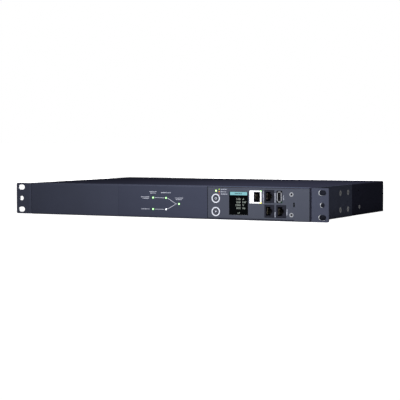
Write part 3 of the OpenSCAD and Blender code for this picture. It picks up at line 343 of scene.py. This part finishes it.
def wound_wire():
    """Enamelled copper wire wound over dark ferrite: bright ridges with dark grooves between them.  The
    turns are 1.4 to 1.6 mm thick and are drawn 2.2 mm apart so that they show."""
    material, tree, shader = new_material("enamelled_copper_and_ferrite")
    place = add(tree, "ShaderNodeTexCoord")
    turns = add(tree, "ShaderNodeTexWave", {"Vector": place.outputs["Object"], "Scale": 1 / (6.9 * MM),
                                            "Distortion": 0.4}, bands_direction="Z")
    tree.links.new(blend_colours(tree, turns.outputs["Fac"], "#2b2522", "#a4592a"),
                   shader.inputs["Base Color"])
    tree.links.new(between(tree, turns.outputs["Fac"], 0.6, 0.3), shader.inputs["Roughness"])
    relief = add(tree, "ShaderNodeBump", {"Height": turns.outputs["Fac"], "Distance": 0.3 * MM})
    tree.links.new(relief.outputs[0], shader.inputs["Normal"])
    return material


EDGE_TO_SLOTS = 8.75       # from an ear's outer edge to the column of its slots
SLOT_REACH = (5.4, 19.6)   # the slots lie this far to each side of the column and of the middle height
SLOT_COLUMN = extent("rack_ear_right")[1].x - EDGE_TO_SLOTS

FINISHES = {
    # The cover's coat is the darkest, a darker copy of the same navy that paints shade, so the long flat top
    # reads as near-black navy.
    "housing_powder_coat": powder_coat("matt_navy_powder_coat_painted_shade", "#252632", "#23242f"),
    # The front wall's coat is a lighter slate navy.
    "front_powder_coat": powder_coat("matt_slate_navy_powder_coat", "#3a3d4b", "#383b48"),
    # The ears have it too, with a painted highlight of bright zinc on the cut walls inside the slots.
    "ear_powder_coat": powder_coat("matt_slate_navy_coat_glinting_slots", "#3c3f4d", "#3a3d4a", slot_glint=True),
    # Black oxide on machine screws: thin and oily, nearly black with a soft metal glint on edges.
    "black_oxide_steel": surface("black_oxide_steel", "#1d1e22", "#24252a", 0.8, (0.35, 0.55), 0.02,
                                 metallic=0.7),
    # Zinc plating with clear passivate: bluish grey metal, a little cloudy.
    "zinc_plated_steel": surface("zinc_plated_steel", "#c2c7ce", "#b4bac4", 1.5, (0.28, 0.42), 0.01,
                                 metallic=1.0, patch_mm=5.0),
    # Nickel plating on folded sheet and brass inserts: warm, bright, with faint rolling lines along Y.
    "nickel_plated_steel": surface("nickel_plated_sheet", "#dedcd6", "#d2d0ca", 0.5, (0.16, 0.3), 0.006,
                                   metallic=1.0, stretch=(1, 6, 1), patch_mm=4.0),
    # Back-printed polycarbonate film with a velvet front: even colour, and a trace of sheen beside the coat.
    "status_film": surface("velvet_polycarbonate_film", "#373a48", "#353846", 0.7, (0.5, 0.6), 0.008,
                           specular=0.02, patch_mm=60.0),
    # Moulded polycarbonate light pipes: lit ones glow in their own colour. The idle one is given a pale glow
    # too, painted light that keeps it white, with painted shade at its rim where the dome turns from the
    # front.
    "lit_green_lens": lit_lens("green_lit_light_pipe", "#d8ffc4", "#37d02f", 1.0),
    "unlit_white_lens": lit_lens("idle_light_pipe_painted_glow", "#f2f4f6", "#aeb2be", 0.75),
    "lit_lime_lens": lit_lens("lime_lit_light_pipe", "#f6ffd0", "#8fdc2c", 1.0),
    "lit_yellow_lens": lit_lens("yellow_lit_jack_lamp", "#f4ee7a", "#d9cf4a", 0.8),
    # Etched, drilled and masked laminate: deep green gloss.
    "circuit_board": printed_board(),
    # Float glass with a black back and an anti-reflective coat: smooth and black, with hardly a reflection.
    "screen_glass": surface("coated_black_cover_glass", "#020304", "#030405", 8.0, (0.04, 0.08),
                            specular=0.01, ior=1.52),
    # Moulded ABS ring: soft greyish white with a fine spark-eroded texture.
    "white_bezel_plastic": surface("moulded_white_abs", "#bfc2cc", "#b7bac6", 0.4, (0.32, 0.45), 0.01,
                                   ior=1.53),
    # Moulded dark ABS cap: matt texture that keeps the dish readable.
    "dark_button_plastic": surface("moulded_charcoal_abs", "#33353f", "#2e303a", 0.4, (0.45, 0.6), 0.015,
                                   specular=0.2, ior=1.53),
    # Glass-filled nylon of the jack's housing: clean white, semi-gloss.
    "white_jack_plastic": surface("moulded_white_nylon", "#f4f5f7", "#eceef1", 0.6, (0.3, 0.42), 0.01,
                                  ior=1.53),
    # Glass-filled nylon of connectors: cool black, nearly matt.
    "black_connector_plastic": surface("moulded_black_nylon", "#171820", "#1b1c25", 0.6, (0.45, 0.62), 0.015,
                                       specular=0.06, ior=1.53),
    # Unfilled nylon of the key switches' plungers: warm ivory, half matt.
    "ivory_plastic": surface("moulded_ivory_nylon", "#dcd9c8", "#d2cfbd", 0.5, (0.4, 0.5), 0.01, ior=1.53),
    # Flash gold over nickel on sprung contacts: dull, pale lines in the dark jacks.
    "gold_plated_contact": surface("gold_plated_contact", "#b8b09c", "#a59d8a", 0.4, (0.3, 0.45),
                                   metallic=1.0, patch_mm=2.0),
    # Transfer-moulded epoxy: charcoal, matt and slightly sandy.
    "black_epoxy": surface("moulded_black_epoxy", "#1b1c20", "#202126", 0.5, (0.55, 0.7), 0.02, specular=0.3),
    # Machine-wound enamelled wire on sintered ferrite: copper ridges with a varnish gloss.
    "ferrite_and_copper": wound_wire(),
    # Heat-shrunk PET sleeve over a drawn can: smooth, dark blue, glossy.
    "capacitor_sleeve": surface("blue_shrink_sleeve", "#1e2b55", "#1a264c", 1.0, (0.2, 0.3), 0.01,
                                patch_mm=8.0),
    # Epoxy-filled polyester case: mustard yellow with a slightly rough moulded face.
    "capacitor_box": surface("yellow_polyester_case", "#b8962f", "#ad8b29", 0.6, (0.4, 0.55), 0.015,
                             patch_mm=10.0),
    # Moulded polyester relay case: deep blue, half glossy.
    "relay_case": surface("blue_polyester_case", "#26376e", "#223264", 0.6, (0.3, 0.42), 0.012,
                          patch_mm=12.0),
    # Glazed steatite tube: creamy, smooth and glossy with faint clouds.
    "fuse_ceramic": surface("glazed_steatite", "#dcdac8", "#cfccb8", 1.2, (0.15, 0.28), 0.01,
                            patch_mm=6.0),
    # Extruded aluminium: satin metal with die lines along the extrusion.
    "sink_aluminium": surface("extruded_aluminium", "#b9bcc1", "#a9adb4", 0.5, (0.3, 0.5), 0.02,
                              metallic=1.0, stretch=(1, 60, 1), patch_mm=3.0),
    # Bare copper bar, rolled along X, with a light brown tarnish in patches.
    "busbar_copper": surface("rolled_copper_bar", "#c07a4c", "#a9663c", 0.5, (0.28, 0.45), 0.01,
                             metallic=1.0, stretch=(40, 1, 1), patch_mm=6.0),
    # Turned brass: yellow metal with a slightly broken sheen.
    "brass_stud": surface("turned_brass", "#c8a45c", "#b8934e", 0.4, (0.25, 0.38), 0.01, metallic=1.0,
                          patch_mm=4.0),
}

# The module's own faceplate is coated from another batch, a shade greyer and lighter than the wall round it.
MODULE_COAT = powder_coat("matt_grey_powder_coat", "#42454f", "#3f424d")

# Duller nickel for the parts that fingers and plugs rub: grey, with a broken sheen.
RUBBED_NICKEL = surface("rubbed_nickel_plate", "#85878c", "#74767c", 0.5, (0.35, 0.5), 0.006, metallic=1.0,
                        patch_mm=2.0)
OWN_FINISH = {"module_faceplate": MODULE_COAT, "usb_shell": RUBBED_NICKEL, "accessory_inserts": RUBBED_NICKEL,
              "usb_tongue": FINISHES["black_connector_plastic"]}

for row in frame["record"]["subparts"]:
    NODES[row["node"]].data.materials.clear()
    NODES[row["node"]].data.materials.append(
        OWN_FINISH.get(row["node"], FINISHES[row["material_slot"]]))

# ---------------------------------------------------------------- pieces

# Screen-printed two-part ink: flat, slightly raised, light grey, with soft pinholes where it dried.
PRINT_INK = surface("screen_printed_grey_ink", "#b9bcc8", "#a9acb9", 0.5, (0.5, 0.65), specular=0.1,
                    patch_mm=3.0)
# The same ink in the legend's three colours: small flat dots that need no light of their own.
LEGEND_INKS = {name: surface("screen_printed_%s_ink" % name, first, second, 0.5, (0.45, 0.6), specular=0.1,
                             patch_mm=1.5)
               for name, first, second in (("green", "#a6d24a", "#98c43f"), ("orange", "#e08a36", "#d07c2c"),
                                           ("pink", "#9a5a66", "#8c505c"))}
# Display cells at the brightness of a backlit panel: even light, no gloss.
HEADER_LIGHT = glowing_display("lit_cyan_display_cells", "#9fe0e8", "#86cdd8", 0.8)
FIGURE_LIGHT = glowing_display("lit_pale_green_display_cells", "#dbe6dc", "#bccabf", 0.75)
# Cells that are switched off in the lit bar: they read as dark strokes.
UNLIT_CELLS = glowing_display("dark_display_cells", "#12323a", "#0d272e", 0.3)


def finished(name, shape, slot, finish=None, body="housing"):
    """Turns a bmesh in millimetres into a piece in metres that rides on a body."""
    bmesh.ops.remove_doubles(shape, verts=shape.verts, dist=0.0005)
    bmesh.ops.recalc_face_normals(shape, faces=shape.faces)
    bmesh.ops.transform(shape, matrix=Matrix.Scale(MM, 4), verts=shape.verts)
    mesh = bpy.data.meshes.new(name)
    shape.to_mesh(mesh)
    shape.free()
    mesh.materials.append(finish or FINISHES[slot])
    piece = bpy.data.objects.new(name, mesh)
    bpy.context.scene.collection.objects.link(piece)
    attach(piece, body)
    return piece


def plate(shape, outline, front, back):
    """A flat closed prism with its outline in X and Z."""
    fronts = [shape.verts.new((x, front, z)) for x, z in outline]
    backs = [shape.verts.new((x, back, z)) for x, z in outline]
    shape.faces.new(fronts)
    shape.faces.new(backs[::-1])
    for i in range(len(outline)):
        j = (i + 1) % len(outline)
        shape.faces.new((fronts[i], backs[i], backs[j], fronts[j]))


def line(shape, points, width, front, back):
    """A printed line through the points, mitred at its bends."""
    sides = []
    last = len(points) - 1
    for i, point in enumerate(points):
        here, after, before = (Vector(points[k]) for k in (i, min(i + 1, last), max(i - 1, 0)))
        ahead = (after - before).normalized()
        across = Vector((-ahead.y, ahead.x))
        step = (after - here).normalized() if i < last else ahead
        reach = width / 2 / max(0.5, abs(across.dot(Vector((-step.y, step.x)))))
        sides.append((here + across * reach, here - across * reach))
    plate(shape, [s[1] for s in sides] + [s[0] for s in sides[::-1]], front, back)


def disc(x, z, radius, steps=32):
    return [(x + radius * math.cos(2 * math.pi * i / steps), z + radius * math.sin(2 * math.pi * i / steps))
            for i in range(steps)]


def rounded(x0, x1, z0, z1, radius, steps=5):
    corners = ((x1 - radius, z1 - radius, 0), (x0 + radius, z1 - radius, 90), (x0 + radius, z0 + radius, 180),
               (x1 - radius, z0 + radius, 270))
    return [(x + radius * math.cos(math.radians(turn + 90 * i / steps)),
             z + radius * math.sin(math.radians(turn + 90 * i / steps)))
            for x, z, turn in corners for i in range(steps + 1)]


def ring(shape, x, z, inner, outer, front, back, steps=40):
    loops = []
    for radius, y in ((inner, front), (outer, front), (outer, back), (inner, back)):
        loops.append([shape.verts.new((px, y, pz)) for px, pz in disc(x, z, radius, steps)])
    for k in range(4):
        for i in range(steps):
            j = (i + 1) % steps
            shape.faces.new((loops[k][i], loops[(k + 1) % 4][i], loops[(k + 1) % 4][j], loops[k][j]))


CAPTION_DEPTH = 0.06     # the strokes' thickness, most of it above the surface
CAPTION_STAND = 0.01      # how far their middle lies in front of it
STROKE_PITCH = 0.95


def caption_tree(finish):
    """A printed caption as strokes only: a row of upright bars of uneven width and height."""
    tree = bpy.data.node_groups.new("printed_caption_strokes", "GeometryNodeTree")
    for name, kind in (("Geometry", "Geometry"), ("Length", "Float"), ("Height", "Float"), ("Strokes", "Int"),
                       ("Seed", "Int")):
        tree.interface.new_socket(name, in_out="INPUT", socket_type="NodeSocket" + kind)
    tree.interface.new_socket("Geometry", in_out="OUTPUT", socket_type="NodeSocketGeometry")
    given = add(tree, "NodeGroupInput")
    pitch = add(tree, "ShaderNodeMath", {0: given.outputs["Length"], 1: given.outputs["Strokes"]},
                operation="DIVIDE").outputs[0]
    step = add(tree, "ShaderNodeCombineXYZ", {0: pitch})
    row = add(tree, "GeometryNodeMeshLine", {"Count": given.outputs["Strokes"], "Offset": step.outputs[0]})
    stroke_size = add(tree, "ShaderNodeCombineXYZ",
                      {0: pitch, 1: CAPTION_DEPTH * MM, 2: given.outputs["Height"]})
    stroke = add(tree, "GeometryNodeMeshCube", {"Size": stroke_size.outputs[0]})
    uneven = add(tree, "FunctionNodeRandomValue", {"Min": (0.35, 1.0, 0.62), "Max": (0.78, 1.0, 1.0),
                                                   "Seed": given.outputs["Seed"]}, data_type="FLOAT_VECTOR")
    strokes = add(tree, "GeometryNodeInstanceOnPoints",
                  {"Points": row.outputs[0], "Instance": stroke.outputs[0], "Scale": uneven.outputs[0]})
    solid = add(tree, "GeometryNodeRealizeInstances", {0: strokes.outputs[0]})
    inked = add(tree, "GeometryNodeSetMaterial", {"Geometry": solid.outputs[0], "Material": finish})
    add(tree, "NodeGroupOutput", {0: inked.outputs[0]})
    return tree


def baked(holder):
    """The plain mesh that an object's modifiers or curve give."""
    return bpy.data.meshes.new_from_object(holder.evaluated_get(bpy.context.evaluated_depsgraph_get()))


def captions(name, rows, front, slot, finish):
    """Each row: left end X, middle Z, length, height, and True for a caption that reads upwards."""
    tree = caption_tree(finish)
    sockets = {s.name: s.identifier for s in tree.interface.items_tree if s.in_out == "INPUT"}
    together = bmesh.new()
    for count, (x, z, length, height, upright) in enumerate(rows):
        holder = bpy.data.objects.new("caption_maker", bpy.data.meshes.new("caption_maker"))
        bpy.context.scene.collection.objects.link(holder)
        maker = holder.modifiers.new("strokes", "NODES")
        maker.node_group = tree
        for key, value in (("Length", length * MM), ("Height", height * MM),
                           ("Strokes", max(2, round(length / STROKE_PITCH))), ("Seed", 11 + count)):
            maker[sockets[key]] = value
        made = baked(holder)
        turn = Matrix.Rotation(math.radians(-90), 4, "Y") if upright else Matrix.Identity(4)
        made.transform(Matrix.Scale(1 / MM, 4))
        made.transform(Matrix.Translation((x, front - CAPTION_STAND, z)) @ turn)
        together.from_mesh(made)
        bpy.data.objects.remove(holder)
    bmesh.ops.recalc_face_normals(together, faces=together.faces)
    return finished(name, together, slot, finish)


CAP_HEIGHT = 0.7     # a capital's height as a share of the letter size


def lettering(shape, text, x, z, height, front, align="LEFT"):
    """Display figures, as closed raised shapes."""
    curve = bpy.data.curves.new("figures", "FONT")
    curve.body, curve.size, curve.extrude, curve.align_x = text, height / CAP_HEIGHT, 0.01, align
    curve.resolution_u = 3
    holder = bpy.data.objects.new("figures", curve)
    bpy.context.scene.collection.objects.link(holder)
    mesh = baked(holder)
    mesh.transform(Matrix.Translation((x, front, z)) @ Matrix.Rotation(math.radians(90), 4, "X"))
    shape.from_mesh(mesh)
    bpy.data.objects.remove(holder)


# The flow diagram on the status film: two supply lines that meet at the output lamp.
DIAGRAM_ROUTES = (((-13.2, 5.1), (2.2, 5.1)), ((-12.9, -10.6), (1.9, -10.6)),
                  ((6.9, 4.8), (19.9, -2.7), (22.0, -2.7)), ((6.9, -10.2), (19.9, -2.9)))
LINE_WIDTH = 0.5
film_front = extent("status_film")[0].y
diagram = bmesh.new()
for route in DIAGRAM_ROUTES:
    line(diagram, route, LINE_WIDTH, film_front - 0.02, film_front + 0.01)
finished("status_diagram_lines", diagram, "white_bezel_plastic", PRINT_INK)

film_left = extent("status_film")[0].x
# A dark strip along the film's left edge, a little below the film's face: painted shadow at the film's edge.
SHADOW_FROM_EDGE, SHADOW_TO_EDGE, SHADOW_HALF_HEIGHT = 0.28, 0.02, 19.6
edge_shadow_strip = bmesh.new()
plate(edge_shadow_strip, [(film_left - SHADOW_FROM_EDGE, -SHADOW_HALF_HEIGHT), (film_left - SHADOW_TO_EDGE, -SHADOW_HALF_HEIGHT),
             (film_left - SHADOW_TO_EDGE, SHADOW_HALF_HEIGHT), (film_left - SHADOW_FROM_EDGE, SHADOW_HALF_HEIGHT)],
      film_front + 0.14, film_front + 0.21)
finished("status_film_edge_shadow_line", edge_shadow_strip, "black_connector_plastic")

captions("status_captions", [(-20.9, 13.2, 11.2, 1.3, False), (-19.4, 11.2, 8.6, 1.3, False),
                             (-2.9, 12.1, 15.4, 1.5, False), (18.8, 5.2, 12.2, 1.3, False),
                             (20.0, 3.2, 9.4, 1.3, False), (-34.2, 5.9, 13.2, 1.3, False),
                             (-32.0, 3.9, 10.4, 1.3, False), (-33.8, -10.6, 13.0, 1.4, False)],
         film_front, "white_bezel_plastic", PRINT_INK)

# Captions and legend dots on the control module.
module_front = extent("module_faceplate")[0].y
captions("module_captions", [(87.9, 18.2, 9.4, 1.2, False), (87.9, 14.9, 8.2, 1.2, False),
                             (87.9, 11.8, 9.8, 1.2, False), (149.6, 0.6, 16.4, 1.3, True),
                             (166.4, 2.8, 12.0, 1.3, True), (178.3, 6.0, 6.2, 1.2, True),
                             (166.4, -16.3, 6.2, 1.2, True), (183.3, -13.8, 7.8, 1.2, True)],
         module_front, "white_bezel_plastic", PRINT_INK)
LEGEND_X, LEGEND_RADIUS = 85.15, 0.75
for name, z in (("green", 18.2), ("orange", 14.9), ("pink", 11.8)):
    dot = bmesh.new()
    plate(dot, disc(LEGEND_X, z, LEGEND_RADIUS, 20), module_front - 0.03, module_front + 0.01)
    finished("legend_dot_" + name, dot, "lit_lime_lens", LEGEND_INKS[name])

# Marks on the two buttons: a plain ring and a plain arrowhead, each rooted in the cap's dish.
MARK_BELOW_RIM, MARK_ROOT = 0.08, 0.5
for body in ("upper_button", "lower_button"):
    low, high = extent(body + "_cap")
    x, z = (low.x + high.x) / 2, (low.z + high.z) / 2
    faces = (low.y + MARK_BELOW_RIM, low.y + MARK_ROOT)
    mark = bmesh.new()
    if body == "upper_button":
        ring(mark, x, z, 0.9, 1.45, *faces)
    else:
        plate(mark, [(x - 1.5, z + 0.9), (x, z - 1.3), (x + 1.5, z + 0.9)], *faces)
    finished(body + "_mark", mark, "white_bezel_plastic", PRINT_INK, body)

# What the display shows: a pale header bar, four readings and a page footer, all plain figures.
READINGS = ((4.4, "5.00", "A"), (0.4, "0.60", "kW"), (-3.5, "120.0", "V"), (-7.5, "60.0", "Hz"))
FIGURE_HEIGHT, FOOTER_HEIGHT = 2.5, 2.0
VALUE_END, UNIT_START = 16.6, 19.4     # from the glass's left edge
glass_low, glass_high = extent("lcd_glass")
screen_front = glass_low.y - 0.02
header = bmesh.new()
plate(header, rounded(glass_low.x + 1.2, glass_high.x - 1.2, 10.8, 15.0, 0.3),
      screen_front, screen_front + 0.015)
finished("display_header_bar", header, "screen_glass", HEADER_LIGHT)
captions("display_header_caption", [(glass_low.x + 8.5, 12.9, 10.6, 1.9, False)], screen_front - 0.01,
         "screen_glass", UNLIT_CELLS)
figures = bmesh.new()
for z, value, unit in READINGS:
    lettering(figures, value, glass_low.x + VALUE_END, z, FIGURE_HEIGHT, screen_front, "RIGHT")
    lettering(figures, unit, glass_low.x + UNIT_START, z, FIGURE_HEIGHT, screen_front)
lettering(figures, "1/7", (glass_low.x + glass_high.x) / 2, -13.9, FOOTER_HEIGHT, screen_front, "CENTER")
finished("display_readings", figures, "screen_glass", FIGURE_LIGHT)
